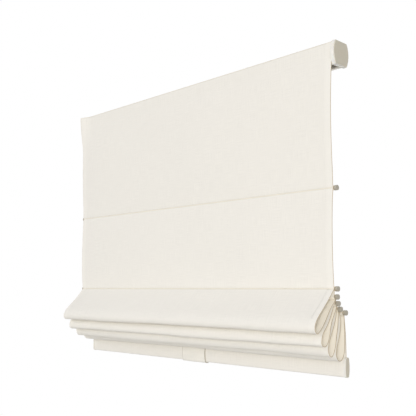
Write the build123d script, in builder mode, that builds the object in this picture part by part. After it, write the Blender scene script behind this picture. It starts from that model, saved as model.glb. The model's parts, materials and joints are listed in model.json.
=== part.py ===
from build123d import *
import math
import os

os.makedirs("parts", exist_ok=True)

# A cordless roman blind for a wall. Sizes are in millimetres. X runs to the right along the blind,
# Y runs back towards the wall, which is at Y = 0, and Z runs up. The origin is the centre of the
# four wall screw holes.

# Overall sizes
overall_width = 1000.0
wall_to_cloth = 66.0
top_panel = 334.0
panel = 227.0

# Head rail extrusion
rail_depth = 44.0
rail_top = 22.0
rail_bottom = -25.0
rail_wall = 1.6
rail_slot = 24.8
rail_edge_radius = 1.5
chamber_top = 15.0
channel_floor = 1.4
slot_ridge = 1.6

# Head rail end caps
end_cap_thickness = 10.0
end_cap_height = 56.0
end_cap_flat = 44.0
end_cap_belly = 60.0
end_cap_ahead_of_rail = 2.0
end_cap_edge = 1.5
plug_length = 12.0
plug_wall = 1.6
plug_gap = 0.2

# Cloth and its tapes
cloth = 0.8
cloth_side_gap = 1.0
cloth_top = 25.0
tape = 1.1
tape_below_cloth_top = 5.0
loop_tape_height = 19.0
hook_tape_height = 18.0
tape_end_gap = 4.0
straight_top = 32.0
top_billow = 6.0
second_billow = 4.0
last_panel_lean = 7.0
last_panel_belly = 1.2
arcs_per_fold = 8

# Rods, pockets and rod caps
rod_diameter = 8.0
rod_wall = 1.0
pocket_gap = 0.4
pocket_neck = 2.2
rod_behind_cloth = 7.2
rod_cap_diameter = 12.0
rod_cap_length = 6.0
rod_cap_plug = 10.0
rod_cap_gap = 0.1

# Cord guides and anchors, clipped on the rods
guide_spread = 350.0
guide_length = 8.0
guide_bore_gap = 0.05
guide_wall = 1.75
guide_mouth = 5.5
guide_window_gap = 0.4
eye_behind_rod = 10.0
eye_half_width = 3.8
eye_hole = 2.1
eye_beyond_hole = 1.7
eye_thickness = 3.0
eye_root = 0.5
anchor_height = 6.0
anchor_hole = 1.1

# Bottom rail, its sleeve, end caps and handle
bottom_height = 42.0
bottom_flat = 9.0
bottom_belly = 13.4
bottom_corner = 3.0
bottom_wall = 1.4
sleeve_gap = 0.3
bottom_cap_thickness = 6.0
bottom_cap_lip = 0.7
bottom_cap_edge = 1.0
bottom_plug = 14.0
sleeve_end_gap = 0.5
last_panel_drop = 96.0
handle_width = 90.0
handle_centre = -8.0
handle_wall = 2.2
handle_gap = 0.3
handle_front_top = 19.5
handle_back_top = 12.0

# Lift shaft, spools and cradles
shaft_across_flats = 6.0
shaft_gap = 0.1
shaft_forward_of_middle = 8.0
shaft_height = -9.0
shaft_overrun = 30.0
shaft_end_chamfer = 0.5
spool_barrel = 8.0
spool_barrel_length = 36.0
spool_flange = 10.4
spool_flange_thickness = 1.5
journal = 5.0
journal_gap = 0.06
journal_length = 5.0
spool_end_play = 0.4
cradle_wall = 4.0
cradle_base = 1.8
cradle_toe = 6.0
cradle_toe_height = 3.0
cradle_boss = 8.0
cradle_side_gap = 0.6
cord_diameter = 1.2
eyelet_radius = 4.0
eyelet_hole = 2.05
eyelet_drop = 2.0

# Spring motor
motor_length = 36.0
motor_wall = 1.6
motor_plate = 2.0
motor_edge = 2.0
motor_top_gap = 0.4
storage_behind_shaft = 16.8
storage_above_shaft = 12.0
drum_flange_thickness = 1.2
drum_end_play = 0.8
output_core = 6.0
output_flange = 9.6
storage_core = 5.5
storage_hub = 4.5
storage_flange = 9.0
storage_pin = 3.0
spring_width = 24.0
spring_band = 0.5
spring_gap = 0.2
output_coil = 7.6
storage_coil = 8.8

# Wall brackets
bracket_spread = 350.0
bracket_width = 30.0
bracket_plate = 2.0
bracket_bottom = -26.0
bracket_screw_spacing = 36.0
bracket_screw_hole = 2.4
bracket_bend = 2.5
bracket_lip_gap = 0.2
bracket_step_gap = 3.0
bracket_tongue_gap = 1.2

# The cloth hangs in front of the rail, and everything else is placed from these
cloth_front = -wall_to_cloth
cloth_line = cloth_front + cloth / 2
rail_front = cloth_front + cloth + 2 * tape
rail_middle = rail_front + rail_depth / 2
rail_back = rail_front + rail_depth
cloth_width = overall_width - 2 * (end_cap_thickness + cloth_side_gap)
rail_length = overall_width - 2 * end_cap_thickness
rod_length = cloth_width + 2 * cloth_side_gap
rod_radius = rod_diameter / 2
pocket_inner = rod_radius + pocket_gap
pocket_outer = pocket_inner + cloth
seam_1 = cloth_top - top_panel
seam_2 = seam_1 - panel

# Every fold grows with the panel that it gathers
fold_scale = panel / 227.0

# Rod centres, as the distance behind the cloth line and the height above seam 2. The first two
# hang flat, and the other four are gathered up in a leaning stack.
flat_rods = [(rod_behind_cloth, panel), (rod_behind_cloth, 0.0)]
stacked_rods = [(6.1, -18.0), (9.6, -33.0), (17.6, -45.5), (37.6, -54.0)]

# Each folded panel, from its upper seam down its front, round its lowest edge and up its back
fold_1 = [(-26.0, -29.0), (-52.0, -54.0), (-69.5, -76.0), (-71.0, -88.0), (-64.5, -95.5),
          (-54.0, -91.0), (-16.0, -46.0)]
fold_2 = [(-3.5, -40.5), (-28.0, -80.0), (-43.5, -98.0), (-48.5, -111.5), (-46.5, -123.5),
          (-37.5, -126.5), (-11.0, -76.5), (2.5, -53.0)]
fold_3 = [(7.8, -50.5), (4.0, -66.0), (-10.5, -98.0), (-22.0, -123.0), (-22.5, -140.0),
          (-13.0, -149.5), (-2.5, -139.5), (5.5, -112.0), (13.6, -74.0)]
fold_4 = [(23.5, -66.0), (23.5, -90.0), (17.0, -113.0), (8.5, -134.0), (8.7, -152.5),
          (21.0, -161.0), (33.0, -152.0), (39.0, -125.0), (39.4, -85.0)]


def place(depth, rise):
    """A point of the blind's side view, from its depth behind the cloth line and its rise above seam 2."""
    return (cloth_line + depth * fold_scale, seam_2 + rise * fold_scale)


rods = [place(rod_behind_cloth / fold_scale, rise / fold_scale) for depth, rise in flat_rods]
rods += [place(depth, rise) for depth, rise in stacked_rods]

# A flat pocket points back from its seam, and a gathered one stands up from it
neck_length = pocket_outer - cloth / 2 + pocket_neck
seams = [(cloth_line, z) for y, z in rods[:2]]
seams += [(y, z - neck_length) for y, z in rods[2:]]

# The bottom rail hangs in a sleeve under the last seam
bottom_top = seams[5][1] - last_panel_drop
bottom_middle_z = bottom_top - bottom_height / 2
sleeve_line = sleeve_gap + cloth / 2
bottom_middle_y = seams[5][0] + last_panel_lean + bottom_flat / 2 + sleeve_line
bottom_middle = (bottom_middle_y, bottom_middle_z)
bottom_length = cloth_width - 2 * bottom_cap_thickness

# The lift shaft lies where the cord leaves the spool at the middle of the rail's slot
shaft_y = rail_middle - shaft_forward_of_middle
shaft_z = shaft_height
cord_y = shaft_y + spool_barrel + cord_diameter / 2
slot_floor = rail_bottom + rail_wall + slot_ridge
storage_y = shaft_y + storage_behind_shaft
storage_z = shaft_z + storage_above_shaft


def barrel(height, flat, belly, corner, grow=0.0):
    """An outline with a straight top and bottom and two bulging sides."""
    with BuildSketch() as outline:
        with BuildLine():
            Line((-flat / 2, height / 2), (flat / 2, height / 2))
            ThreePointArc((flat / 2, height / 2), (belly / 2, 0), (flat / 2, -height / 2))
            Line((flat / 2, -height / 2), (-flat / 2, -height / 2))
            ThreePointArc((-flat / 2, -height / 2), (-belly / 2, 0), (-flat / 2, height / 2))
        make_face()
        fillet(outline.vertices(), corner)
        if grow:
            offset(amount=grow)
    return outline.sketch


def save(part, name):
    part.label = name
    export_step(part, "parts/" + name + ".step")


def side_plane(x):
    """The blind's side view, looked at from the right, at one place along the blind."""
    return Plane.YZ.offset(x)


def turned_plane(x, y, z):
    """A plane along a shaft, for the half outline of a turned piece."""
    return Plane(origin=(x, y, z), x_dir=(1, 0, 0), z_dir=(0, -1, 0))


# Head rail: one extrusion with a mechanism chamber, a cord slot below and a bracket channel above
chamber_width = rail_depth - 2 * rail_wall
with BuildPart() as head_rail:
    with BuildSketch(side_plane(-rail_length / 2)) as rail_profile:
        with Locations((rail_middle, (rail_top + rail_bottom) / 2)):
            RectangleRounded(rail_depth, rail_top - rail_bottom, rail_edge_radius)
        chamber_bottom = rail_bottom + rail_wall
        with Locations((rail_middle, (chamber_top + chamber_bottom) / 2)):
            Rectangle(chamber_width, chamber_top - chamber_bottom, mode=Mode.SUBTRACT)
        channel_bottom = chamber_top + channel_floor
        channel_top = rail_top - rail_wall
        with Locations((rail_middle, (channel_top + channel_bottom) / 2)):
            Rectangle(chamber_width, channel_top - channel_bottom, mode=Mode.SUBTRACT)
        with Locations((rail_middle, rail_top), (rail_middle, rail_bottom)):
            Rectangle(rail_slot, 2 * rail_wall + 1, mode=Mode.SUBTRACT)
        for side in (-1, 1):
            ridge_y = rail_middle + side * (rail_slot + rail_wall) / 2
            with Locations((ridge_y, chamber_bottom)):
                Rectangle(rail_wall, slot_ridge, align=(Align.CENTER, Align.MIN))
    extrude(amount=rail_length)
save(head_rail.part, "head_rail")

# Head rail end caps: a barrel-shaped plate with a hollow plug that fits the chamber
end_cap_middle = rail_front - end_cap_ahead_of_rail + end_cap_flat / 2
plug_bottom = slot_floor + plug_gap
plug_top = chamber_top - plug_gap
plug_width = chamber_width - 2 * plug_gap
with BuildPart() as end_cap_right:
    with BuildSketch(side_plane(rail_length / 2)):
        with Locations((end_cap_middle, 0)):
            add(barrel(end_cap_height, end_cap_flat, end_cap_belly, end_cap_edge))
    extrude(amount=end_cap_thickness)
    chamfer(end_cap_right.faces().sort_by(Axis.X)[-1].edges(), end_cap_edge)
    with BuildSketch(side_plane(rail_length / 2)):
        with Locations((rail_middle, (plug_top + plug_bottom) / 2)):
            RectangleRounded(plug_width, plug_top - plug_bottom, plug_wall / 2)
    extrude(amount=-plug_length)
    with BuildSketch(side_plane(rail_length / 2 - plug_length)):
        with Locations((rail_middle, (plug_top + plug_bottom) / 2)):
            Rectangle(plug_width - 2 * plug_wall, plug_top - plug_bottom - 2 * plug_wall)
    extrude(amount=plug_length + end_cap_thickness / 2, mode=Mode.SUBTRACT)
save(end_cap_right.part, "head_rail_end_cap_right")

with BuildPart() as end_cap_left:
    mirror(end_cap_right.part, about=Plane.YZ)
save(end_cap_left.part, "head_rail_end_cap_left")

# Hook tape on the rail and loop tape on the back of the cloth
tape_length = cloth_width - 2 * tape_end_gap
tape_middle_z = cloth_top - tape_below_cloth_top - loop_tape_height / 2
with BuildPart() as hook_tape:
    with BuildSketch(side_plane(-tape_length / 2)):
        with Locations((rail_front - tape / 2, tape_middle_z)):
            Rectangle(tape, hook_tape_height)
    extrude(amount=tape_length)
save(hook_tape.part, "hook_tape")

with BuildPart() as loop_tape:
    with BuildSketch(side_plane(-tape_length / 2)):
        with Locations((rail_front - 1.5 * tape, tape_middle_z)):
            Rectangle(tape, loop_tape_height)
    extrude(amount=tape_length)
save(loop_tape.part, "loop_tape")

# Lift shaft: a hexagonal bar along the inside of the rail
shaft_length = 2 * (guide_spread + shaft_overrun)
with BuildPart() as lift_shaft:
    with BuildSketch(side_plane(-shaft_length / 2)):
        with Locations((shaft_y, shaft_z)):
            RegularPolygon(shaft_across_flats / 2, 6, major_radius=False)
    extrude(amount=shaft_length)
    chamfer(lift_shaft.faces().sort_by(Axis.X)[-1].edges(), shaft_end_chamfer)
    chamfer(lift_shaft.faces().sort_by(Axis.X)[0].edges(), shaft_end_chamfer)
save(lift_shaft.part, "lift_shaft")

# Cord spools, turned about the shaft, with a hexagonal bore
spool_half = spool_barrel_length / 2
flange_end = spool_half + spool_flange_thickness
spool_end = flange_end + journal_length
hex_bore = shaft_across_flats / 2 + shaft_gap


def cord_spool(x):
    with BuildPart() as spool:
        with BuildSketch(turned_plane(x, shaft_y, shaft_z)):
            with BuildLine():
                Polyline((-spool_end, 0), (-spool_end, journal), (-flange_end, journal),
                         (-flange_end, spool_flange), (-spool_half, spool_flange),
                         (-spool_half, spool_barrel), (spool_half, spool_barrel),
                         (spool_half, spool_flange), (flange_end, spool_flange),
                         (flange_end, journal), (spool_end, journal), (spool_end, 0), close=True)
            make_face()
        revolve(axis=Axis((x, shaft_y, shaft_z), (1, 0, 0)))
        with BuildSketch(side_plane(x - spool_end)):
            with Locations((shaft_y, shaft_z)):
                RegularPolygon(hex_bore, 6, major_radius=False)
        extrude(amount=2 * spool_end, mode=Mode.SUBTRACT)
    return spool.part


# Spool cradles: a base on the slot's ridges, two bearing walls and the cord eyelet
cradle_inner = flange_end + spool_end_play
cradle_half = cradle_inner + cradle_wall
cradle_width = chamber_width - 2 * cradle_side_gap
cradle_floor = slot_floor + cradle_base
toe_z = cradle_floor + cradle_toe_height


def spool_cradle(x):
    with BuildPart() as cradle:
        with BuildSketch(Plane.XY.offset(slot_floor)):
            with Locations((x, rail_middle)):
                Rectangle(2 * cradle_half, cradle_width)
        extrude(amount=cradle_base)
        with BuildSketch(side_plane(x - cradle_half), side_plane(x + cradle_inner)):
            with BuildLine():
                Polyline((rail_middle - cradle_width / 2, cradle_floor),
                         (rail_middle + cradle_width / 2, cradle_floor),
                         (rail_middle + cradle_width / 2 - cradle_toe, toe_z),
                         (shaft_y + cradle_boss, shaft_z),
                         (shaft_y - cradle_boss, shaft_z),
                         (rail_middle - cradle_width / 2, toe_z), close=True)
            make_face()
            with Locations((shaft_y, shaft_z)):
                Circle(cradle_boss)
        extrude(amount=cradle_wall)
        with BuildSketch(side_plane(x - cradle_half)):
            with Locations((shaft_y, shaft_z)):
                Circle(journal + journal_gap)
        extrude(amount=2 * cradle_half, mode=Mode.SUBTRACT)
        with BuildSketch(Plane.XY.offset(rail_bottom - eyelet_drop)):
            with Locations((x, cord_y)):
                Circle(eyelet_radius)
        extrude(amount=cradle_floor - rail_bottom + eyelet_drop)
        with Locations((x, cord_y, cradle_floor)):
            Hole(eyelet_hole)
    return cradle.part


for side, x in (("left", -guide_spread), ("right", guide_spread)):
    save(cord_spool(x), "cord_spool_" + side)
    save(spool_cradle(x), "spool_cradle_" + side)

# Spring motor housing: a rounded box with a pin for the storage drum, open on its right
motor_bottom = slot_floor
motor_top = chamber_top - motor_top_gap
motor_middle_z = (motor_top + motor_bottom) / 2
motor_left = -motor_length / 2
cover_inner = motor_length / 2 - motor_plate
with BuildPart() as motor_housing:
    with BuildSketch(side_plane(motor_left)):
        with Locations((rail_middle, motor_middle_z)):
            RectangleRounded(cradle_width, motor_top - motor_bottom, motor_edge)
    extrude(amount=motor_length - motor_plate)
    with BuildSketch(side_plane(motor_left + motor_plate)):
        with Locations((rail_middle, motor_middle_z)):
            RectangleRounded(cradle_width - 2 * motor_wall, motor_top - motor_bottom - 2 * motor_wall,
                             motor_edge / 2)
    extrude(amount=motor_length, mode=Mode.SUBTRACT)
    with BuildSketch(side_plane(motor_left)):
        with Locations((shaft_y, shaft_z)):
            Circle(journal + journal_gap)
    extrude(amount=motor_plate, mode=Mode.SUBTRACT)
    with BuildSketch(side_plane(motor_left)):
        with Locations((storage_y, storage_z)):
            Circle(storage_pin)
    extrude(amount=motor_length - motor_plate)
save(motor_housing.part, "spring_motor_housing")

# Motor cover: a plate with the second bearing and a rim inside the housing's walls
with BuildPart() as motor_cover:
    with BuildSketch(side_plane(cover_inner)):
        with Locations((rail_middle, motor_middle_z)):
            RectangleRounded(cradle_width, motor_top - motor_bottom, motor_edge)
        with Locations((shaft_y, shaft_z)):
            Circle(journal + journal_gap, mode=Mode.SUBTRACT)
    extrude(amount=motor_plate)
save(motor_cover.part, "spring_motor_cover")

# Motor drums, turned, with the flat spring wound on both between their flanges
drum_half = spring_width / 2 + spring_gap
drum_end = drum_half + drum_flange_thickness
drum_middle = (motor_left + motor_plate + cover_inner) / 2


def drum_outline(core, flange, end_radius, end_length):
    """Half of a drum's outline along its shaft."""
    return [(-drum_end - end_length, 0), (-drum_end - end_length, end_radius), (-drum_end, end_radius),
            (-drum_end, flange), (-drum_half, flange), (-drum_half, core), (drum_half, core),
            (drum_half, flange), (drum_end, flange), (drum_end, end_radius),
            (drum_end + end_length, end_radius), (drum_end + end_length, 0)]


output_journal = cover_inner - drum_middle - drum_end + motor_plate
with BuildPart() as output_drum:
    with BuildSketch(turned_plane(drum_middle, shaft_y, shaft_z)):
        with BuildLine():
            Polyline(*drum_outline(output_core, output_flange, journal, output_journal), close=True)
        make_face()
    revolve(axis=Axis((0, shaft_y, shaft_z), (1, 0, 0)))
    with BuildSketch(side_plane(-motor_length)):
        with Locations((shaft_y, shaft_z)):
            RegularPolygon(hex_bore, 6, major_radius=False)
    extrude(amount=2 * motor_length, mode=Mode.SUBTRACT)
save(output_drum.part, "motor_output_drum")

storage_hub_length = cover_inner - drum_middle - drum_end - drum_end_play
with BuildPart() as storage_drum:
    with BuildSketch(turned_plane(drum_middle, storage_y, storage_z)):
        with BuildLine():
            Polyline(*drum_outline(storage_core, storage_flange, storage_hub, storage_hub_length), close=True)
        make_face()
    revolve(axis=Axis((0, storage_y, storage_z), (1, 0, 0)))
    with BuildSketch(side_plane(-motor_length)):
        with Locations((storage_y, storage_z)):
            Circle(storage_pin + journal_gap)
    extrude(amount=2 * motor_length, mode=Mode.SUBTRACT)
save(storage_drum.part, "motor_storage_drum")

# The flat spring: a coil on each drum, and the band that crosses from one to the other
spring_axis = math.atan2(storage_above_shaft, storage_behind_shaft)
drum_pitch = math.hypot(storage_above_shaft, storage_behind_shaft)
output_lap = output_coil - spring_band / 2
storage_lap = storage_coil - spring_band / 2
cross_angle = spring_axis + math.acos((output_lap + storage_lap) / drum_pitch)
cross_y, cross_z = math.cos(cross_angle), math.sin(cross_angle)
with BuildPart() as motor_spring:
    with BuildSketch(side_plane(drum_middle - spring_width / 2)):
        with Locations((shaft_y, shaft_z)):
            Circle(output_coil)
        with Locations((storage_y, storage_z)):
            Circle(storage_coil)
        with BuildLine():
            Line((shaft_y + output_lap * cross_y, shaft_z + output_lap * cross_z),
                 (storage_y - storage_lap * cross_y, storage_z - storage_lap * cross_z))
        trace(line_width=spring_band)
        with Locations((shaft_y, shaft_z)):
            Circle(output_core + spring_gap, mode=Mode.SUBTRACT)
        with Locations((storage_y, storage_z)):
            Circle(storage_core + spring_gap, mode=Mode.SUBTRACT)
    extrude(amount=spring_width)
save(motor_spring.part, "motor_spring")

# Wall brackets: a bent strip from the wall over the rail's back lip and down into its top channel,
# with a tongue under the front lip and a short nib under the back lip
arm_z = rail_top + bracket_lip_gap + bracket_plate / 2
tongue_z = rail_top - rail_wall - bracket_plate / 2
step_y = rail_middle + rail_slot / 2 - bracket_step_gap
tongue_end = rail_front + rail_wall + bracket_tongue_gap
nib_end = rail_back - rail_wall - bracket_tongue_gap


def wall_bracket(x):
    with BuildPart() as bracket:
        with BuildSketch(side_plane(x - bracket_width / 2)):
            with BuildLine():
                FilletPolyline((-bracket_plate / 2, bracket_bottom), (-bracket_plate / 2, arm_z),
                               (step_y, arm_z), radius=bracket_bend)
            trace(line_width=bracket_plate)
            with BuildLine():
                Line((tongue_end, tongue_z), (nib_end, tongue_z))
            trace(line_width=bracket_plate)
            with Locations((step_y, (arm_z + tongue_z) / 2)):
                Rectangle(bracket_plate, arm_z - tongue_z + bracket_plate)
        extrude(amount=bracket_width)
        for z in (-bracket_screw_spacing / 2, bracket_screw_spacing / 2):
            with Locations(Plane(origin=(x, 0, z), z_dir=(0, 1, 0))):
                Hole(bracket_screw_hole, depth=2 * bracket_plate)
    return bracket.part


for side, x in (("left", -bracket_spread), ("right", bracket_spread)):
    save(wall_bracket(x), "wall_bracket_" + side)

# Cloth: one sheet seen from the side, from the top of the rail to the sleeve of the bottom rail
window = rod_radius + guide_bore_gap + guide_wall + guide_window_gap
folds = [fold_1, fold_2, fold_3, fold_4]
end_of_straight = (cloth_line, cloth_top - straight_top)
middle_of_top = (cloth_line - top_billow, (cloth_top - straight_top + seam_1) / 2)
middle_of_second = (cloth_line - second_billow, (seam_1 + seam_2) / 2)
panel_end = (bottom_middle_y - bottom_flat / 2 - sleeve_line, bottom_top - bottom_corner)


def sheet_run(line, arcs):
    """The section of a sheet that follows a line, with each face drawn as a chain of arcs."""
    front, back = [], []
    for step in range(2 * arcs + 1):
        share = step / (2 * arcs)
        middle = line.position_at(share)
        along = line.tangent_at(share)
        across = Vector(-along.Y, along.X) * (cloth / 2)
        front.append(middle + across)
        back.append(middle - across)
    back.reverse()
    with BuildSketch() as run:
        with BuildLine():
            for edge in (front, back):
                for first in range(0, 2 * arcs, 2):
                    ThreePointArc(*edge[first:first + 3])
            Line(front[-1], back[0])
            Line(back[-1], front[0])
        make_face()
    return run.sketch


# The sheet's runs: two flat panels, four folded ones, and the last panel down to the sleeve
cloth_runs = [sheet_run(ThreePointArc(end_of_straight, middle_of_top, seams[0]), 1),
              sheet_run(ThreePointArc(seams[0], middle_of_second, seams[1]), 1)]
for number, fold in enumerate(folds):
    fold_start = seams[number + 1]
    if number > 0:
        fold_start = (fold_start[0] + cloth / 2, fold_start[1])
    fold_end = (seams[number + 2][0] - cloth / 2, seams[number + 2][1])
    fold_line = Spline(fold_start, *[place(depth, rise) for depth, rise in fold], fold_end)
    cloth_runs.append(sheet_run(fold_line, arcs_per_fold))
    print("fold", number + 1, "length", round(fold_line.length, 1))
last_start = (seams[5][0] + cloth / 2, seams[5][1])
last_middle = (panel_end[0] - last_panel_belly, seams[5][1] - last_panel_drop / 2)
last_line = Spline(last_start, last_middle, panel_end, tangents=[(0.2, -1), (0, -1)])
cloth_runs.append(sheet_run(last_line, 4))

with BuildPart() as cloth_sheet:
    with BuildSketch(side_plane(-cloth_width / 2)) as cloth_section:
        with Locations((cloth_line, cloth_top - straight_top / 2)):
            Rectangle(cloth, straight_top)
        add(cloth_runs)
        for rod, seam in zip(rods[:2], seams[:2]):
            with BuildLine():
                Line(seam, (rod[0] - pocket_inner, rod[1]))
            trace(line_width=2 * cloth)
        for rod, seam in zip(rods[2:], seams[2:]):
            with BuildLine():
                Line(seam, (rod[0], rod[1] - pocket_inner))
            trace(line_width=2 * cloth)
        with Locations(*rods):
            Circle(pocket_outer)
            Circle(pocket_inner, mode=Mode.SUBTRACT)
        with Locations(bottom_middle):
            add(barrel(bottom_height, bottom_flat, bottom_belly, bottom_corner, sleeve_gap + cloth))
            add(barrel(bottom_height, bottom_flat, bottom_belly, bottom_corner, sleeve_gap),
                mode=Mode.SUBTRACT)
    extrude(amount=cloth_width)
    for x in (-cloth_width / 2, cloth_width / 2 - bottom_cap_thickness - sleeve_end_gap):
        with BuildSketch(side_plane(x)):
            with Locations((bottom_middle_y, bottom_top + sleeve_gap + cloth)):
                Rectangle(3 * bottom_belly, 2 * bottom_height, align=(Align.CENTER, Align.MAX))
        extrude(amount=bottom_cap_thickness + sleeve_end_gap, mode=Mode.SUBTRACT)
    for x in (-guide_spread, guide_spread):
        with BuildSketch(side_plane(x - guide_length / 2 - guide_window_gap)):
            with Locations(*rods):
                Circle(window)
        extrude(amount=guide_length + 2 * guide_window_gap, mode=Mode.SUBTRACT)
save(cloth_sheet.part, "fabric")


# Rods: thin tubes a little longer than the cloth is wide, with a flanged six-sided plug in each end
def rod_tube(centre):
    with BuildPart() as tube:
        with BuildSketch(side_plane(-rod_length / 2)):
            with Locations(centre):
                Circle(rod_radius)
                Circle(rod_radius - rod_wall, mode=Mode.SUBTRACT)
        extrude(amount=rod_length)
    return tube.part


def rod_cap_pair(centre):
    with BuildPart() as pair:
        with BuildSketch(side_plane(rod_length / 2)):
            with Locations(centre):
                Circle(rod_cap_diameter / 2)
        extrude(amount=rod_cap_length)
        with BuildSketch(side_plane(rod_length / 2)):
            with Locations(centre):
                RegularPolygon(rod_radius - rod_wall - rod_cap_gap, 6)
        extrude(amount=-rod_cap_plug)
        mirror(about=Plane.YZ)
    return pair.part


# Cord guides: a split clip round the rod with an eye behind it. The clip's mouth faces the seam. The
# last rod has anchors instead, each thicker and with a smaller hole.
def cord_fittings(centre, gathered, anchor):
    y, z = centre
    clip_radius = rod_radius + guide_bore_gap + guide_wall
    eye_y = y + eye_behind_rod
    height = anchor_height if anchor else eye_thickness
    hole = anchor_hole if anchor else eye_hole
    lug_start = y + clip_radius - eye_root
    lug_length = eye_y + eye_hole + eye_beyond_hole - lug_start
    with BuildPart() as fittings:
        with BuildSketch(*[side_plane(x - guide_length / 2) for x in (-guide_spread, guide_spread)]):
            with Locations(centre):
                Circle(clip_radius)
                Circle(rod_radius + guide_bore_gap, mode=Mode.SUBTRACT)
            if gathered:
                with Locations((y, z - clip_radius)):
                    Rectangle(guide_mouth, 2 * clip_radius, mode=Mode.SUBTRACT)
            else:
                with Locations((y - clip_radius, z)):
                    Rectangle(2 * clip_radius, guide_mouth, mode=Mode.SUBTRACT)
        extrude(amount=guide_length)
        with BuildSketch(Plane.XY.offset(z - height / 2)):
            for x in (-guide_spread, guide_spread):
                with Locations((x, lug_start)):
                    Rectangle(2 * eye_half_width, lug_length, align=(Align.CENTER, Align.MIN))
                with Locations((x, eye_y)):
                    Circle(hole, mode=Mode.SUBTRACT)
        extrude(amount=height)
    return fittings.part


for number, centre in enumerate(rods, start=1):
    last = number == len(rods)
    save(rod_tube(centre), "rod_" + str(number))
    save(rod_cap_pair(centre), "rod_" + str(number) + "_caps")
    fitting_name = "_cord_anchors" if last else "_cord_guides"
    save(cord_fittings(centre, number > 2, last), "rod_" + str(number) + fitting_name)

# Bottom rail: a flat oval tube inside the sleeve
with BuildPart() as bottom_rail:
    with BuildSketch(side_plane(-bottom_length / 2)):
        with Locations(bottom_middle):
            add(barrel(bottom_height, bottom_flat, bottom_belly, bottom_corner))
            add(barrel(bottom_height, bottom_flat, bottom_belly, bottom_corner, -bottom_wall),
                mode=Mode.SUBTRACT)
    extrude(amount=bottom_length)
save(bottom_rail.part, "bottom_rail")

# Bottom rail end caps: a plate that covers the sleeve's end, with a plug in the rail
cap_grow = sleeve_gap + cloth + bottom_cap_lip
with BuildPart() as bottom_cap_right:
    with BuildSketch(side_plane(bottom_length / 2)):
        with Locations(bottom_middle):
            add(barrel(bottom_height, bottom_flat, bottom_belly, bottom_corner, cap_grow))
    extrude(amount=bottom_cap_thickness)
    chamfer(bottom_cap_right.faces().sort_by(Axis.X)[-1].edges(), bottom_cap_edge)
    with BuildSketch(side_plane(bottom_length / 2)):
        with Locations(bottom_middle):
            add(barrel(bottom_height, bottom_flat, bottom_belly, bottom_corner, -bottom_wall - plug_gap))
    extrude(amount=-bottom_plug)
save(bottom_cap_right.part, "bottom_rail_end_cap_right")

with BuildPart() as bottom_cap_left:
    mirror(bottom_cap_right.part, about=Plane.YZ)
save(bottom_cap_left.part, "bottom_rail_end_cap_left")

# Handle: a clip that wraps the front, bottom and back of the sleeve
handle_inner = sleeve_gap + cloth + handle_gap
with BuildPart() as handle:
    with BuildSketch(side_plane(handle_centre - handle_width / 2)):
        with Locations(bottom_middle):
            add(barrel(bottom_height, bottom_flat, bottom_belly, bottom_corner, handle_inner + handle_wall))
            add(barrel(bottom_height, bottom_flat, bottom_belly, bottom_corner, handle_inner),
                mode=Mode.SUBTRACT)
        with Locations((bottom_middle_y - bottom_belly, bottom_middle_z + handle_front_top)):
            Rectangle(bottom_belly, bottom_height, align=(Align.MIN, Align.MIN), mode=Mode.SUBTRACT)
        with Locations((bottom_middle_y, bottom_middle_z + handle_back_top)):
            Rectangle(2 * bottom_belly, bottom_height, align=(Align.MIN, Align.MIN), mode=Mode.SUBTRACT)
    extrude(amount=handle_width)
save(handle.part, "handle")
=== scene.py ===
import json
import math

import bpy
import numpy as np
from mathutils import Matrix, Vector


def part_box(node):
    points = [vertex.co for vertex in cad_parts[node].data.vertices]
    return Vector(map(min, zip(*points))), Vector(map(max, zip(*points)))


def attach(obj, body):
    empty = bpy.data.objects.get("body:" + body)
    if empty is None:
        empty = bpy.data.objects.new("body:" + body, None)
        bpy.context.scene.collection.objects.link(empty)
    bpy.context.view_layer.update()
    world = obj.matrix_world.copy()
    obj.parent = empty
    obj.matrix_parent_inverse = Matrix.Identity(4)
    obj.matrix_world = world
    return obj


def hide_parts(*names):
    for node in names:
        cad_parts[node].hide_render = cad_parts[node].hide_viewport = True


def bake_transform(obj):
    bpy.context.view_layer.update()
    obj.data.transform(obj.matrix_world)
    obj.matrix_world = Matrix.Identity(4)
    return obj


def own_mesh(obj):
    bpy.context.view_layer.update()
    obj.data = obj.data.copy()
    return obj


# The look of a cordless roman blind: one sheet of ivory cloth in six panels, of which four hang
# gathered in loops over their rods. Lengths are in metres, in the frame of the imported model: X runs
# along the blind, Y back to the wall and Z up.

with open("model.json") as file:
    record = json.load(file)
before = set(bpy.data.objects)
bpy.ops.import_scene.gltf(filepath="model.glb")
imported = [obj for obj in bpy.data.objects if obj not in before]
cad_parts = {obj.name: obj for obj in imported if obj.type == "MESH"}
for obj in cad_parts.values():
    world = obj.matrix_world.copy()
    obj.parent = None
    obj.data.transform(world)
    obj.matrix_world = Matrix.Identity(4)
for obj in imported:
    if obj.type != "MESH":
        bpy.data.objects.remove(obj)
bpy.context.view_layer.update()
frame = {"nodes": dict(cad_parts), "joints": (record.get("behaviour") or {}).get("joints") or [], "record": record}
MM = 0.001


def middle(node):
    """The middle of a CAD node in the side view, as (y, z)."""
    low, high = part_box(node)
    return np.array([(low.y + high.y) / 2, (low.z + high.z) / 2])


# The cloth: how thick it is, how far before the upper rods it hangs, and where it ends
CLOTH = 0.8 * MM
BEFORE_RODS = 7.2 * MM
RODS = [middle(f"rod_{number}") for number in range(1, 7)]
CLOTH_LINE = RODS[0][0] - BEFORE_RODS
CLOTH_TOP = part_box("fabric")[1].z
CLOTH_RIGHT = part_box("fabric")[1].x
WHOLE_WIDTH = [(-CLOTH_RIGHT, CLOTH_RIGHT)]
FLAT_PANELS = 2

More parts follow.
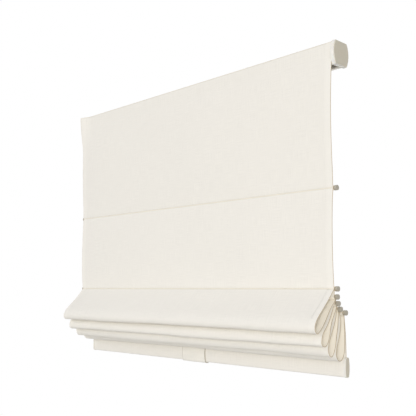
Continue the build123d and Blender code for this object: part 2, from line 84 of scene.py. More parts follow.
# The bottom rail's section, and the sleeve that the cloth makes round it: how far it stops before
# the outer faces of the end caps, how far it lies off the rail, how high above the rail it starts,
# and where its last corner ends, 30 degrees short of the front
RAIL_MIDDLE = middle("bottom_rail")
RAIL_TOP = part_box("bottom_rail")[1].z
RAIL_HEIGHT, RAIL_FLAT, RAIL_BELLY, RAIL_CORNER = 42 * MM, 9 * MM, 13.4 * MM, 3 * MM
SLEEVE_BEFORE_END = 6.5 * MM
SLEEVE_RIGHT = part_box("bottom_rail_end_cap_right")[1].x - SLEEVE_BEFORE_END
SLEEVE_LINE = 0.7 * MM
SLEEVE_ABOVE_RAIL = 1.1 * MM
SLEEVE_END = 150
SLEEVE_ROWS, BULGE_POINTS, BEND_POINTS = 90, 24, 8

# The handle's two ends on X, and how wide its rims of painted shade are
HANDLE = [corner.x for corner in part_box("handle")]
HANDLE_SHADED_RIM = 1.2 * MM
SHADED_RIM_FADE = 0.4 * MM

# Moulded plastic: between which shares of X in its direction a face begins to be an end face, which
# takes a colour of painted shade, and how far red, green and blue light go in
SHADED_END_FACE = 0.5, 0.9
LIGHT_REACH = 2 * MM, 1.6 * MM, 1.1 * MM

# The pockets: the middle of the cloth round a rod, the seam below a gathered rod, and the windows
# where the cord guides come through
POCKET_RING = 4.8 * MM
POCKET_POINTS = 40
SEAM_BELOW_ROD = 7.0 * MM
GUIDE_X = 350 * MM
WINDOW_HALF = 4.4 * MM

# The four folded panels, from the upper seam down the front, round the lowest edge and up the back,
# in millimetres behind the cloth line and above the second seam
FOLDS = [
    [(-26.0, -29.0), (-52.0, -54.0), (-69.5, -76.0), (-71.0, -88.0), (-64.5, -95.5),
     (-54.0, -91.0), (-16.0, -46.0)],
    [(-3.5, -40.5), (-28.0, -80.0), (-43.5, -98.0), (-48.5, -111.5), (-46.5, -123.5),
     (-37.5, -126.5), (-11.0, -76.5), (2.5, -53.0)],
    [(7.8, -50.5), (4.0, -66.0), (-10.5, -98.0), (-22.0, -123.0), (-22.5, -140.0),
     (-13.0, -149.5), (-2.5, -139.5), (5.5, -112.0), (13.6, -74.0)],
    [(23.5, -66.0), (23.5, -90.0), (17.0, -113.0), (8.5, -134.0), (8.7, -152.5),
     (21.0, -161.0), (33.0, -152.0), (39.0, -125.0), (39.4, -85.0)],
]
FOLD_ROW = 3 * MM
SPLINE_POINTS = 1500

# The reserves: their rows down to the rod, the step at which these repeat below it, and the room
# that is left before the pocket
RESERVE_ROWS = 44
RISE_STEP = 8
RESERVE_ROOM = 1.2 * CLOTH

# The flat panels: what the tape holds at the top, how far each billows, and the creases at their
# seams.
TOP_HELD = 32 * MM
TOP_BILLOW, SECOND_BILLOW = 6 * MM, 4 * MM
CREASE_DEPTH, CREASE_REACH = 2.0 * MM, 2.0 * MM
PANEL_ROWS = 84

# The last panel: its belly, how far that is below the seam, and its straight end above the sleeve
LAST_BELLY, LAST_BELLY_BELOW = 1.2 * MM, 48 * MM
LAST_STRAIGHT = 8 * MM

# Long gentle waves in the hanging cloth: height, turns per metre across and along, and phase. They
# are shifted from piece to piece.
PANEL_WAVES = [(1.1 * MM, 1.1, 0.6, 0.3), (0.7 * MM, 2.3, -1.4, 1.9), (0.4 * MM, 4.7, 2.2, 4.0)]
FOLD_WAVES = [(0.8 * MM, 1.3, 1.5, 0.8), (0.45 * MM, 3.1, -2.6, 2.9), (0.25 * MM, 6.3, 4.1, 5.2)]
WAVE_FADE = 45 * MM
SECOND_SHIFT, LAST_SHIFT = (0.37, 0.2), (1.7, 0.0)
FOLD_SHIFT = 0.29

# The upper left corner of the cloth stands out over the end cap
CORNER_FORWARD, CORNER_OUT = 10.5 * MM, 8 * MM
CORNER_WIDTH, CORNER_LENGTH = 36 * MM, 130 * MM

# The side hems, of double cloth with a step on the back, and the width of the mesh's columns. The
# slack keeps rounding from moving the step.
HEM = 18 * MM
HEM_EXTRA = 0.35 * MM
HEM_STEP, HEM_SLACK = 0.6 * MM, 0.1 * MM
COLUMN = 6 * MM
SHARP_ANGLE = math.radians(50)

# The weave: the pitch of its threads, and its slubs per metre across and along a thread
THREAD_PITCH = 0.62 * MM
SLUBS_ACROSS, SLUBS_ALONG = 900, 26

# The stitches: their length, where a row of them and the holes at their ends fade, and how far the
# rows are from the side edge and from a seam
STITCH = 3.2 * MM
ROW_FADE = 0.25 * MM, 0.6 * MM
HOLE_FADE = 0.36, 0.46
HEM_ROW, SEAM_ROW = HEM - 2 * MM, 2.4 * MM

# The relief of the cloth: its depth, and the parts that threads, rows of stitches and hems have in
# it, where the slubs have 1
RELIEF = 0.12 * MM
THREAD_RELIEF, ROW_RELIEF, HEM_RELIEF = 0.6, 0.8, 1.2

# Colours over that of the cloth, where they fade, and how much of each shows at most
HEM_FADE = 0.4 * MM
# The tan along the cut side edges of the cloth, and so on its edge faces, is painted shade
CUT_EDGE, CUT_EDGE_SHADE = 1.0 * MM, (0.58, 0.49, 0.35)
# The darker band along each seam is painted shade
SEAM_LINE, SEAM_FADE, SEAM_PAINTED_SHADE = 0.8 * MM, 3.4 * MM, (0.72, 0.67, 0.56)
CLOUD_SHARE, HEM_SHARE, HOLE_SHARE, SEAM_SHADE_SHARE = 0.5, 0.55, 0.5, 0.5


def seam(number):
    """The seam of a rod's pocket: level with the rod where the panel hangs flat, else below it."""
    y, z = RODS[number - 1]
    return np.array([CLOTH_LINE, z] if number <= FLAT_PANELS else [y, z - SEAM_BELOW_ROD])


def smooth(t):
    """A smooth rise from 0 to 1, level before and after it."""
    t = np.clip(t, 0, 1)
    return t * t * (3 - 2 * t)


def along(line):
    """The length from the start of a line to each of its points."""
    return np.concatenate([[0], np.cumsum(np.linalg.norm(np.diff(line, axis=0), axis=1))])


def resample(line, count):
    """The same line with evenly spaced points."""
    length = along(line)
    even = np.linspace(0, length[-1], count)
    return np.stack([np.interp(even, length, line[:, k]) for k in (0, 1)], axis=1)


def spline(points, spacing):
    """Evenly spaced points on the natural spline through the given points."""
    p = np.array(points, float)
    step = np.linalg.norm(np.diff(p, axis=0), axis=1)
    place = along(p)
    count = len(p)
    system, wanted = np.eye(count), np.zeros((count, 2))
    for i in range(1, count - 1):
        system[i, i - 1:i + 2] = step[i - 1], 2 * (step[i - 1] + step[i]), step[i]
        wanted[i] = 6 * ((p[i + 1] - p[i]) / step[i] - (p[i] - p[i - 1]) / step[i - 1])
    bend = np.linalg.solve(system, wanted)
    fine = np.linspace(0, place[-1], SPLINE_POINTS)
    i = np.clip(np.searchsorted(place, fine, side="right") - 1, 0, count - 2)
    h, before, after = (v[:, None] for v in (step[i], fine - place[i], place[i + 1] - fine))
    curve = (bend[i] * after**3 + bend[i + 1] * before**3) / (6 * h)
    curve += (p[i] / h - bend[i] * h / 6) * after + (p[i + 1] / h - bend[i + 1] * h / 6) * before
    return resample(curve, max(3, round(along(curve)[-1] / spacing) + 1))


def arc(centre, radius, start, end, count):
    """Points of an arc in the side view. Degrees count from +Y towards +Z."""
    angles = np.radians(np.linspace(start, end, count))
    return np.array(centre) + radius * np.stack([np.cos(angles), np.sin(angles)], axis=1)


def columns(left, right):
    """Places across the cloth, with a pair at each step of a side hem."""
    places = list(np.linspace(left, right, max(2, round((right - left) / COLUMN)) + 1))
    for side in (-1, 1):
        for step in (0, HEM_STEP):
            x = side * (CLOTH_RIGHT - HEM - step)
            if left < x < right:
                places.append(x)
    return np.array(sorted(places))


def waves(across, length, kind, hold=0.0, shift=(0.0, 0.0)):
    """How far the cloth stands forward at each row and column. It lies still near its seams, and
    where the tape holds it at the top."""
    total = 0
    for height, turns_x, turns_s, phase in kind:
        turns = turns_x * (across + shift[0])[None, :] + turns_s * (length + shift[1])[:, None]
        total = total + height * np.sin(2 * math.pi * turns + phase)
    near = np.minimum(length - hold, length[-1] - length)
    return total * smooth(near / WAVE_FADE)[:, None]


def corner_share(across, length):
    """How much of the upper left corner's spread each row and column has."""
    from_inside = smooth((CORNER_WIDTH - CLOTH_RIGHT - across) / CORNER_WIDTH)
    return from_inside[None, :] * (1 - smooth(length / CORNER_LENGTH))[:, None]


def add(name, data):
    """A new object in the scene."""
    made = bpy.data.objects.new(name, data)
    bpy.context.scene.collection.objects.link(made)
    return made


def sheet(name, line, spans, forward=None, v=None, outward=None, back_from=None):
    """A thin closed sheet of cloth that follows a line of the side view, over one or more spans of
    X. forward and outward say how far each point stands before the line and out to the left. v is
    the length of flat cloth at each row. Past row back_from both sides look like the back. The UV
    map is the flat cloth in metres. Two attributes hold each point's distance from the side edge of
    the cloth and from the nearest seam."""
    length = along(line)
    v = length if v is None else v
    tangent = np.gradient(line, axis=0)
    tangent /= np.linalg.norm(tangent, axis=1)[:, None]
    front = np.stack([tangent[:, 1], -tangent[:, 0]], axis=1)
    verts, faces, uvs, edge, near_seam, back_faces = [], [], [], [], [], []
    for left, right in spans:
        # The points of the front and then of the back
        x = columns(left, right)
        rows, cols, base = len(line), len(x), len(verts)
        push = np.zeros((rows, cols)) if forward is None else forward(x, length)
        spread = np.zeros((rows, cols)) if outward is None else outward(x, length)
        hem = HEM_EXTRA * (np.abs(x) > CLOTH_RIGHT - HEM - HEM_SLACK)
        for side in (1, -1):
            stand = push + (CLOTH / 2 if side > 0 else -(CLOTH / 2 + hem)[None, :])
            for i in range(rows):
                for j in range(cols):
                    y, z = line[i] + front[i] * stand[i, j]
                    verts.append((x[j] - spread[i, j], y, z))
                    uvs.append((x[j], v[i]))
                    edge.append(CLOTH_RIGHT - abs(x[j]))
                    near_seam.append(min(v[i] - v[0], v[-1] - v[i]))
        # The faces of both sides, and then those of the cut edge all round
        back = base + rows * cols
        for i in range(rows - 1):
            for j in range(cols - 1):
                a, b = base + i * cols + j, base + (i + 1) * cols + j
                faces.append((a, b, b + 1, a + 1))
                c, d = back + i * cols + j, back + (i + 1) * cols + j
                faces.append((c, c + 1, d + 1, d))
        rim = [(i * cols, (i + 1) * cols) for i in range(rows - 1)]
        rim += [((rows - 1) * cols + j, (rows - 1) * cols + j + 1) for j in range(cols - 1)]
        rim += [((i + 1) * cols + cols - 1, i * cols + cols - 1) for i in reversed(range(rows - 1))]
        rim += [(j + 1, j) for j in reversed(range(cols - 1))]
        faces += [(base + p, back + p, back + q, base + q) for p, q in rim]
        # Which material each face has: 0 for the front's and 1 for the back's
        front_rows = rows - 1 if back_from is None else back_from
        back_faces += [0, 1] * (front_rows * (cols - 1))
        back_faces += [1, 1] * ((rows - 1 - front_rows) * (cols - 1)) + [1] * len(rim)
    mesh = bpy.data.meshes.new(name)
    mesh.from_pydata(verts, [], faces)
    layer = mesh.uv_layers.new(name="flat_cloth")
    corner = np.array([loop.vertex_index for loop in mesh.loops])
    layer.data.foreach_set("uv", np.array(uvs, np.float32)[corner].ravel())
    for label, values in (("from_edge", edge), ("from_seam", near_seam)):
        data = mesh.attributes.new(label, "FLOAT", "POINT").data
        data.foreach_set("value", np.array(values, np.float32))
    mesh.polygons.foreach_set("use_smooth", [True] * len(mesh.polygons))
    mesh.set_sharp_from_angle(angle=SHARP_ANGLE)
    mesh.materials.append(cloth_front)
    mesh.materials.append(cloth_back)
    mesh.polygons.foreach_set("material_index", back_faces)
    piece = add(name, mesh)
    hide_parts("fabric")
    return piece


class Graph:
    """The nodes of a material or of the world."""

    def __init__(self, owner):
        owner.use_nodes = True
        self.owner, self.tree = owner, owner.node_tree

    def node(self, kind, **settings):
        made = self.tree.nodes.new(kind)
        for key, value in settings.items():
            setattr(made, key, value)
        return made

    def feed(self, socket, value):
        """Link a socket to another, or give it a value."""
        if isinstance(value, bpy.types.NodeSocket):
            self.tree.links.new(value, socket)
        elif value is not None:
            socket.default_value = value

    def math(self, operation, *values):
        made = self.node("ShaderNodeMath", operation=operation)
        for socket, value in zip(made.inputs, values):
            self.feed(socket, value)
        return made.outputs[0]

    def stretched(self, vector, scale):
        mapping = self.node("ShaderNodeMapping")
        mapping.inputs["Scale"].default_value = scale
        self.feed(mapping.inputs["Vector"], vector)
        return mapping.outputs[0]

    def position(self, scale=(1, 1, 1)):
        """The object's own coordinates, stretched by scale."""
        return self.stretched(self.node("ShaderNodeTexCoord").outputs["Object"], scale)

    def split(self, vector):
        """The X, Y and Z of a vector, by name."""
        made = self.node("ShaderNodeSeparateXYZ")
        self.feed(made.inputs[0], vector)
        return made.outputs

    def attribute(self, name):
        return self.node("ShaderNodeAttribute", attribute_name=name).outputs["Fac"]

    def noise(self, vector, scale, detail=3.0, roughness=0.5):
        made = self.node("ShaderNodeTexNoise")
        self.feed(made.inputs["Vector"], vector)
        made.inputs["Scale"].default_value = scale
        made.inputs["Detail"].default_value = detail
        made.inputs["Roughness"].default_value = roughness
        return made.outputs["Fac"]

    def ramp(self, value, low, high, to_low=0.0, to_high=1.0):
        """A smooth change from to_low to to_high while the value goes from low to high."""
        made = self.node("ShaderNodeMapRange", interpolation_type="SMOOTHSTEP")
        for socket, given in zip(made.inputs, (value, low, high, to_low, to_high)):
            self.feed(socket, given)
        return made.outputs[0]

    def mix(self, share, first, second):
        """A colour between the first, at share 0, and the second, at share 1."""
        made = self.node("ShaderNodeMix", data_type="RGBA")
        colours = [s for s in made.inputs if s.type == "RGBA"]
        self.feed(made.inputs["Factor"], share)
        self.feed(colours[0], (*first, 1) if isinstance(first, tuple) else first)
        self.feed(colours[1], (*second, 1) if isinstance(second, tuple) else second)
        return next(s for s in made.outputs if s.type == "RGBA")

    def mottled(self, colour, pattern, low, high, darker, lighter):
        """A colour that a pattern makes darker and lighter by a share of its own."""
        share = self.ramp(pattern, low, high)
        return self.mix(share, shade(colour, -darker), shade(colour, lighter))

    def bump(self, height, distance, strength):
        made = self.node("ShaderNodeBump")
        made.inputs["Strength"].default_value = strength
        made.inputs["Distance"].default_value = distance
        self.feed(made.inputs["Height"], height)
        return made.outputs["Normal"]

    def seen(self):
        """1 for what is seen straight, mirrored or through glass, and 0 for light on the scene."""
        rays = self.node("ShaderNodeLightPath").outputs
        mirrored = self.math("MAXIMUM", rays["Is Glossy Ray"], rays["Is Transmission Ray"])
        return self.math("MAXIMUM", rays["Is Camera Ray"], mirrored)

    def surface(self, colour, roughness, normal=None, **constants):
        """The finished material. Constants are the shader's inputs, with _ for a space."""
        inputs = self.tree.nodes["Principled BSDF"].inputs
        self.feed(inputs["Base Color"], colour)
        self.feed(inputs["Roughness"], roughness)
        self.feed(inputs["Normal"], normal)
        for name, value in constants.items():
            inputs[name.replace("_", " ")].default_value = value
        return self.owner


def shade(colour, share):
    """A colour made lighter or darker by a share."""
    return tuple(min(1.0, c * (1 + share)) for c in colour)


def woven_cloth(name, colour, painted_light_through=0.0):
    """A plain weave of slightly uneven threads, with stitched side hems and seams, darkened along the
    seams and the cut side edges as painted shade. The light-through setting is a weak glow, painted
    light that stands for light from the other side."""
    g = Graph(bpy.data.materials.new(name))
    uv = g.node("ShaderNodeUVMap", uv_map="flat_cloth").outputs[0]
    u, v = g.split(uv)[:2]
    edge, seam_away = g.attribute("from_edge"), g.attribute("from_seam")

    warp, weft = (g.math("SINE", g.math("MULTIPLY", s, math.pi / THREAD_PITCH)) for s in (u, v))
    threads = g.math("ABSOLUTE", g.math("MULTIPLY", warp, weft))
    slub_warp = g.noise(g.stretched(uv, (SLUBS_ACROSS, SLUBS_ALONG, 1)), scale=1.0, detail=2.0)
    slub_weft = g.noise(g.stretched(uv, (SLUBS_ALONG, SLUBS_ACROSS, 1)), scale=1.0, detail=2.0)
    slubs = g.math("MULTIPLY", g.math("ADD", slub_warp, slub_weft), 0.5)
    weave = g.math("ADD", g.math("MULTIPLY", threads, THREAD_RELIEF), slubs)
    cloudy = g.noise(uv, scale=7.0)
    hem = g.ramp(edge, HEM - HEM_FADE, HEM + HEM_FADE, 1.0, 0.0)

    def stitches(away, place, along_it):
        """A row of stitches at one distance, and the holes at their ends."""
        from_row = g.math("ABSOLUTE", g.math("SUBTRACT", away, place))
        row = g.ramp(from_row, *ROW_FADE, 1.0, 0.0)
        beat = g.math("FRACT", g.math("DIVIDE", along_it, STITCH))
        from_middle = g.math("ABSOLUTE", g.math("SUBTRACT", beat, 0.5))
        return row, g.math("MULTIPLY", row, g.ramp(from_middle, *HOLE_FADE))

    side_row, side_holes = stitches(edge, HEM_ROW, v)
    seam_row, seam_holes = stitches(seam_away, SEAM_ROW, u)
    rows = g.math("MAXIMUM", side_row, seam_row)
    holes = g.math("MAXIMUM", side_holes, seam_holes)

    base = g.mottled(colour, slubs, low=0.36, high=0.64, darker=0.045, lighter=0.02)
    base = g.mix(g.ramp(cloudy, 0.35, 0.65, 0.0, CLOUD_SHARE), base, shade(colour, -0.015))
    base = g.mix(g.math("MULTIPLY", hem, HEM_SHARE), base, shade(colour, 0.035))
    base = g.mix(g.math("MULTIPLY", holes, HOLE_SHARE), base, shade(colour, -0.3))
    # Painted shade: a darker band along each seam
    base = g.mix(g.ramp(seam_away, SEAM_LINE, SEAM_FADE, SEAM_SHADE_SHARE, 0.0), base, SEAM_PAINTED_SHADE)
    # Painted shade: a tan line along the cut side edges
    base = g.mix(g.ramp(edge, 0.5 * CUT_EDGE, CUT_EDGE, 1.0, 0.0), base, CUT_EDGE_SHADE)
    height = g.math("SUBTRACT", weave, g.math("MULTIPLY", rows, ROW_RELIEF))
    height = g.math("ADD", height, g.math("MULTIPLY", hem, HEM_RELIEF))
    rough = g.ramp(slubs, 0.3, 0.7, to_low=0.92, to_high=0.84)
    return g.surface(base, rough, g.bump(height, RELIEF, strength=0.8), Specular_IOR_Level=0.15,
                     Sheen_Weight=0.06, Sheen_Roughness=0.5, Sheen_Tint=(1.0, 0.93, 0.82, 1),
                     Emission_Color=(1.0, 0.95, 0.86, 1), Emission_Strength=painted_light_through)


def coated(name, colour, roughness=0.38):
    """Powder coat: even colour with a fine orange peel."""
    g = Graph(bpy.data.materials.new(name))
    at = g.position()
    peel = g.noise(at, scale=900.0, detail=2.0)
    cloudy = g.noise(at, scale=14.0)
    base = g.mottled(colour, cloudy, low=0.3, high=0.7, darker=0.02, lighter=0.01)
    rough = g.ramp(cloudy, 0.3, 0.7, to_low=roughness - 0.05, to_high=roughness + 0.06)
    return g.surface(base, rough, g.bump(peel, distance=0.03 * MM, strength=0.5),
                     Specular_IOR_Level=0.5, Coat_Weight=0.1, Coat_Roughness=0.3)


def moulded(name, colour, roughness=0.42, grain=1600.0, see_in=0.0, ends=None, rims=None):
    """Moulded plastic with a fine spark texture and slight flow marks. see_in is how much of the
    light goes a little way in. ends is a darker colour, painted shade, for the faces across X, and
    rims are two places on X past which every face has that painted shade too."""
    g = Graph(bpy.data.materials.new(name))
    spark = g.noise(g.position(), scale=grain, detail=2.0, roughness=0.6)
    flow = g.noise(g.position((1.0, 3.0, 3.0)), scale=22.0)
    base = g.mottled(colour, flow, low=0.3, high=0.7, darker=0.035, lighter=0.015)
    if ends:
        facing = g.split(g.node("ShaderNodeTexCoord").outputs["Normal"])["X"]
        painted_end_shade = g.ramp(g.math("ABSOLUTE", facing), *SHADED_END_FACE)
        if rims:
            centre, half = sum(rims) / 2, (rims[1] - rims[0]) / 2
            away = g.math("ABSOLUTE", g.math("SUBTRACT", g.split(g.position())["X"], centre))
            painted_end_shade = g.math("MAXIMUM", painted_end_shade, g.ramp(away, half, half + SHADED_RIM_FADE))
        base = g.mix(painted_end_shade, base, ends)
    rough = g.ramp(g.math("ADD", g.math("MULTIPLY", spark, 0.4), flow), 0.45, 0.95,
                   to_low=roughness - 0.06, to_high=roughness + 0.08)
    depth = {}
    if see_in:
        depth = {"Subsurface_Weight": see_in, "Subsurface_Radius": LIGHT_REACH}
    return g.surface(base, rough, g.bump(spark, distance=0.025 * MM, strength=0.6),
                     Specular_IOR_Level=0.45, **depth)


def drawn_metal(name, colour, roughness, lines=4200.0):
    """Extruded or drawn metal: fine die lines along X and a faint cloudiness."""
    g = Graph(bpy.data.materials.new(name))
    die = g.noise(g.position((0.004, 1.0, 1.0)), scale=lines, detail=2.0, roughness=0.65)
    cloudy = g.noise(g.position(), scale=35.0)
    base = g.mottled(colour, die, low=0.35, high=0.65, darker=0.09, lighter=0.04)
    rough = g.ramp(g.math("ADD", g.math("MULTIPLY", die, 0.6), g.math("MULTIPLY", cloudy, 0.4)),
                   0.35, 0.65, to_low=roughness - 0.08, to_high=roughness + 0.1)
    return g.surface(base, rough, g.bump(die, distance=0.02 * MM, strength=0.5), Metallic=1.0)


def hook_and_loop(name, colour):
    """Tape with a dense pile of small loops."""
    g = Graph(bpy.data.materials.new(name))
    pile = g.node("ShaderNodeTexVoronoi", feature="F1")
    g.feed(pile.inputs["Vector"], g.position())
    pile.inputs["Scale"].default_value = 1100.0
    away = pile.outputs["Distance"]
    fuzz = g.noise(g.position(), scale=2600.0, detail=2.0)
    base = g.mix(g.ramp(away, 0.1, 0.6), shade(colour, 0.02), shade(colour, -0.16))
    height = g.math("ADD", g.math("MULTIPLY", away, -1.0), g.math("MULTIPLY", fuzz, 0.4))
    return g.surface(base, 0.95, g.bump(height, distance=0.35 * MM, strength=0.9),
                     Specular_IOR_Level=0.2, Sheen_Weight=0.2)


# Materials, one for each finish in the record. Colours are linear.
# The cloth's back is a lighter, warmer cream than its front, as painted light inside the loops.
# A weak glow on it is painted light that stands for light coming through.
cloth_front = woven_cloth("cloth", (0.90, 0.88, 0.83))
cloth_back = woven_cloth("cloth_back", (0.96, 0.92, 0.83), painted_light_through=0.035)
materials = {
    "powder_coat": coated("powder_coat", (0.82, 0.80, 0.755)),
    "bracket_coat": coated("bracket_coat", (0.80, 0.79, 0.76), 0.42),
    # The caps' end faces take a darker colour as painted shade
    "cap_plastic": moulded("cap_plastic", (0.87, 0.86, 0.82), see_in=0.15,
                           ends=(0.64, 0.60, 0.50)),
    # The handle's end faces and rims take a darker colour as painted shade
    "handle_plastic": moulded("handle_plastic", (0.88, 0.86, 0.80), 0.36, ends=(0.48, 0.45, 0.38),
                              rims=(HANDLE[0] + HANDLE_SHADED_RIM, HANDLE[1] - HANDLE_SHADED_RIM)),
    "fitting_plastic": moulded("fitting_plastic", (0.78, 0.77, 0.73), 0.5, 1200.0),
    "guide_plastic": moulded("guide_plastic", (0.72, 0.71, 0.66), 0.4, 1200.0, see_in=0.3),
    "rod_cap_plastic": moulded("rod_cap_plastic", (0.46, 0.43, 0.36), 0.5, 1400.0),
    "cloth": cloth_front,
    "tape": hook_and_loop("tape", (0.80, 0.79, 0.76)),
    "rod_tube": drawn_metal("rod_tube", (0.72, 0.72, 0.70), 0.36),
    "shaft_steel": drawn_metal("shaft_steel", (0.56, 0.56, 0.55), 0.28),
    "spring_steel": drawn_metal("spring_steel", (0.30, 0.31, 0.33), 0.24, 3000.0),
    "rail_mill": drawn_metal("rail_mill", (0.74, 0.74, 0.73), 0.4),
}
for entry in frame["record"]["subparts"]:
    node_mesh = frame["nodes"][entry["node"]].data
    node_mesh.materials.clear()
    node_mesh.materials.append(materials[entry["material_slot"]])


def flat_panel(top, bottom, billow, held=0.0, crease_top=True):
    """The line of a flat panel: it billows a little forward and tucks back into its seams."""
    share = (1 - np.cos(np.linspace(0, math.pi, PANEL_ROWS))) / 2
    z = top + (bottom - top) * share
    hanging = np.clip((top - held - z) / (top - held - bottom), 0, 1)
    y = CLOTH_LINE - billow * 4 * hanging * (1 - hanging)
    y = y + CREASE_DEPTH * np.exp(-(z - bottom) / CREASE_REACH)
    if crease_top:
        y = y + CREASE_DEPTH * np.exp(-(top - z) / CREASE_REACH)
    return np.stack([y, z], axis=1)


seams = {number: seam(number) for number in range(1, 7)}
bodies = ["rod_1", "rod_2", "rod_3", "rod_4", "rod_5", "bottom"]
slides = {joint["child"]: joint for joint in frame["joints"] if joint["type"] == "slide"}

# The two flat panels
first_line = flat_panel(CLOTH_TOP, seams[1][1], TOP_BILLOW, TOP_HELD, crease_top=False)
first = sheet("cloth_panel_1", first_line, WHOLE_WIDTH,
              lambda x, s: waves(x, s, PANEL_WAVES, TOP_HELD) + CORNER_FORWARD * corner_share(x, s),
              outward=lambda x, s: CORNER_OUT * corner_share(x, s))
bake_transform(first)

second_line = flat_panel(seams[1][1], seams[2][1], SECOND_BILLOW)
second = sheet("cloth_panel_2", second_line, WHOLE_WIDTH,
               lambda x, s: waves(x, s, PANEL_WAVES, shift=SECOND_SHIFT))
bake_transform(second)

# The four gathered panels. Each is a loop, and a reserve behind it whose flat length takes in the
# drop of its lower rod. The rear of a loop is seen on a lowered blind's back, so past its lowest
# point it has the colour of the cloth's back.
for number, points in enumerate(FOLDS, start=1):
    upper, lower = seams[number + 1], seams[number + 2]
    upper_body, lower_body = bodies[number], bodies[number + 1]
    slide = slides[lower_body]
    places = [(CLOTH_LINE + depth * MM, seams[2][1] + rise * MM) for depth, rise in points]
    line_start = upper + (CLOTH / 2, -CLOTH / 2)
    line_end = lower - (CLOTH / 2, 0)
    line = spline([line_start, *places, line_end], FOLD_ROW)
    shift = (FOLD_SHIFT * number, 0.0)
    loop = sheet(f"cloth_fold_{number}", line, WHOLE_WIDTH,
                 lambda x, s: waves(x, s, FOLD_WAVES, shift=shift),
                 back_from=int(np.argmin(line[:, 1])))
    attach(loop, upper_body)
    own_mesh(loop)

    rod_y, rod_z = RODS[number + 1]
    ahead_of_rod = np.array([rod_y - POCKET_RING - RESERVE_ROOM, rod_z])
    reserve_start = upper + (CLOTH, -CLOTH / 2)
    share = np.linspace(0, 1, RESERVE_ROWS)[:, None]
    reserve_line = reserve_start + share * (ahead_of_rod - reserve_start)
    below_rod = ahead_of_rod + share[1::RISE_STEP] * (line_end - ahead_of_rod)
    reserve_line = np.concatenate([reserve_line, below_rod])
    drop = max(slide["range_m"])
    stretched = along(reserve_line)
    stretched = stretched + drop * smooth(stretched / along(reserve_line[:RESERVE_ROWS])[-1])
    reserve = sheet(f"cloth_reserve_{number}", reserve_line, WHOLE_WIDTH, v=stretched)
    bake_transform(reserve)

# A sewn pocket round each rod, open at the cord guides
edges = [-CLOTH_RIGHT, -GUIDE_X - WINDOW_HALF, -GUIDE_X + WINDOW_HALF,
         GUIDE_X - WINDOW_HALF, GUIDE_X + WINDOW_HALF, CLOTH_RIGHT]
pocket_spans = list(zip(edges[::2], edges[1::2]))
neck = math.degrees(math.asin(CLOTH / 2 / POCKET_RING))
for number, centre in enumerate(RODS, start=1):
    if number <= FLAT_PANELS:
        ring = arc(centre, POCKET_RING, 180 - neck, neck - 180, POCKET_POINTS)
        ends = [seams[number] + (CLOTH, side * CLOTH / 2) for side in (1, -1)]
    else:
        ring = arc(centre, POCKET_RING, -90 - neck, neck - 450, POCKET_POINTS)
        ends = [seams[number] + (side * CLOTH / 2, 0) for side in (-1, 1)]
    line = np.concatenate([[ends[0]], ring, [ends[1]]])
    pocket = sheet(f"cloth_pocket_{number}", line, pocket_spans)
    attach(pocket, bodies[number - 1])

# The last panel, down to the front of the bottom rail
front_y = RAIL_MIDDLE[0] - RAIL_FLAT / 2 - SLEEVE_LINE
sleeve_start = np.array([front_y, RAIL_TOP + SLEEVE_ABOVE_RAIL])
last_middle = (front_y - LAST_BELLY, seams[6][1] - LAST_BELLY_BELOW)
last_line = spline([seams[6] + (CLOTH / 2, 0), last_middle,
                    sleeve_start + (0, LAST_STRAIGHT), sleeve_start], FOLD_ROW)
last = sheet("cloth_panel_6", last_line, WHOLE_WIDTH,
             lambda x, s: waves(x, s, FOLD_WAVES, shift=LAST_SHIFT))
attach(last, "bottom")

# The sleeve: down the front of the bottom rail, under it, up its back and over its top. The front
# and the back bulge, and the corners are round.
sagitta = (RAIL_BELLY - RAIL_FLAT) / 2
side_radius = ((RAIL_HEIGHT / 2) ** 2 + sagitta**2) / (2 * sagitta)
side_centre = RAIL_BELLY / 2 - side_radius
corner_z = RAIL_HEIGHT / 2 - RAIL_CORNER
corner_y = side_centre + math.sqrt((side_radius - RAIL_CORNER) ** 2 - corner_z**2)
turn = math.degrees(math.atan2(corner_z, corner_y - side_centre))
bulge, bend = side_radius + SLEEVE_LINE, RAIL_CORNER + SLEEVE_LINE
sleeve_line = RAIL_MIDDLE + np.concatenate([
    arc((-side_centre, 0), bulge, 180 - turn, 180 + turn, BULGE_POINTS),
    arc((-corner_y, -corner_z), bend, 180 + turn, 270, BEND_POINTS),
    arc((corner_y, -corner_z), bend, 270, 360 - turn, BEND_POINTS),
    arc((side_centre, 0), bulge, -turn, turn, BULGE_POINTS),
    arc((corner_y, corner_z), bend, turn, 90, BEND_POINTS),
    arc((-corner_y, corner_z), bend, 90, SLEEVE_END - turn, BEND_POINTS),
])
sleeve_line = resample(np.concatenate([[sleeve_start], sleeve_line]), SLEEVE_ROWS)
sleeve = sheet("cloth_sleeve", sleeve_line, [(-SLEEVE_RIGHT, SLEEVE_RIGHT)])
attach(sleeve, "bottom")

# A pale floor well below the blind. A camera sees it as white where no shadow falls.
FLOOR_Z, FLOOR_RADIUS, FLOOR_SIDES = -2.15, 3.2, 96
FLOOR_COLOURS = (0.62, 0.615, 0.60), (0.66, 0.655, 0.64)
FLOOR_GLOW = 0.5


def floor_material():
    """Speckled pale grey, with a glow that only the camera sees."""
    g = Graph(bpy.data.materials.new("floor"))
    speckle = g.noise(g.position(), scale=60.0, detail=4.0)
    g.surface(g.mix(speckle, *FLOOR_COLOURS), 0.9, Specular_IOR_Level=0.1)
    glow = g.node("ShaderNodeEmission")
    glow.inputs["Color"].default_value = (1, 1, 1, 1)
    g.feed(glow.inputs["Strength"], g.math("MULTIPLY", g.seen(), FLOOR_GLOW))
    both = g.node("ShaderNodeAddShader")
    g.feed(both.inputs[0], g.tree.nodes["Principled BSDF"].outputs[0])
    g.feed(both.inputs[1], glow.outputs[0])
    g.feed(g.tree.nodes["Material Output"].inputs["Surface"], both.outputs[0])
    return g.owner


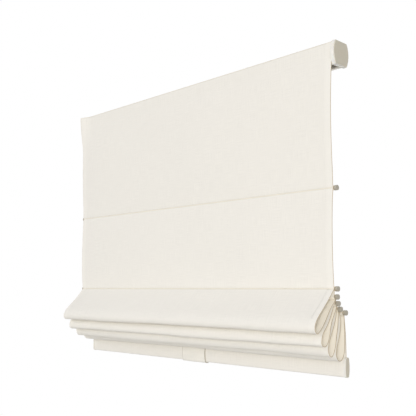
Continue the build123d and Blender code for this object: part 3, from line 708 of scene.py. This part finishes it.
around = [(FLOOR_RADIUS * math.cos(a), FLOOR_RADIUS * math.sin(a), FLOOR_Z)
          for a in np.linspace(0, 2 * math.pi, FLOOR_SIDES, endpoint=False)]
floor_mesh = bpy.data.meshes.new("floor")
floor_mesh.from_pydata(around, [], [tuple(range(len(around)))])
floor_mesh.materials.append(floor_material())
floor = add("floor", floor_mesh)

# The world: soft light on the blind, stronger from above, and a white background for the camera
LIGHT_BELOW, LIGHT_ABOVE = (0.16, 0.145, 0.12), (0.61, 0.615, 0.635)
WHITE = (1, 1, 1)


def studio_world():
    """Light that changes with height, behind a white that only the camera sees."""
    g = Graph(bpy.data.worlds.new("studio"))
    direction = g.split(g.node("ShaderNodeTexCoord").outputs["Generated"])
    height = g.node("ShaderNodeMapRange")
    height.inputs["From Min"].default_value = -1
    g.feed(height.inputs["Value"], direction["Z"])
    soft_light = g.mix(height.outputs["Result"], LIGHT_BELOW, LIGHT_ABOVE)
    g.feed(g.tree.nodes["Background"].inputs["Color"], g.mix(g.seen(), soft_light, WHITE))
    return g.owner


bpy.context.scene.world = studio_world()

# The lamps: place, size, power in watts and colour. Each shines on the middle of the blind.
BLIND_MIDDLE = Vector((0, -0.07, -0.36))
SOFTBOXES = {
    "key": ((-2.2, -3.3, 0.9), 2.4, 35, (0.98, 0.99, 1.0)),
    "fill": ((4.0, -4.8, -0.4), 2.6, 186, (1.0, 0.965, 0.91)),
    "back": ((-2.4, 3.2, 0.6), 2.4, 60, (1.0, 0.98, 0.95)),
}
for name, (place, size, power, colour) in SOFTBOXES.items():
    lamp = bpy.data.lights.new(name, "AREA")
    lamp.shape = "DISK"
    lamp.size, lamp.energy, lamp.color = size, power, colour
    softbox = add(name, lamp)
    softbox.location = place
    softbox.rotation_euler = (BLIND_MIDDLE - Vector(place)).to_track_quat("-Z", "Y").to_euler()

# The camera stands to the right of the blind, level with its lower half, and looks left and a
# little up. Its lens is in millimetres, for a sensor 36 mm wide.
LENS, SENSOR, SHIFT_UP = 58.2, 36, 0.10
STAND = (1.3575, -1.3177, -0.5344)
LOOK_LEFT, LOOK_UP = 45.35, 3.28
camera_data = bpy.data.cameras.new("camera")
camera_data.lens, camera_data.sensor_width, camera_data.shift_y = LENS, SENSOR, SHIFT_UP
camera = add("camera", camera_data)
camera.location = STAND
camera.rotation_euler = (math.radians(90 + LOOK_UP), 0, math.radians(LOOK_LEFT))
bpy.context.scene.camera = camera

bpy.context.scene.view_settings.view_transform = "Standard"
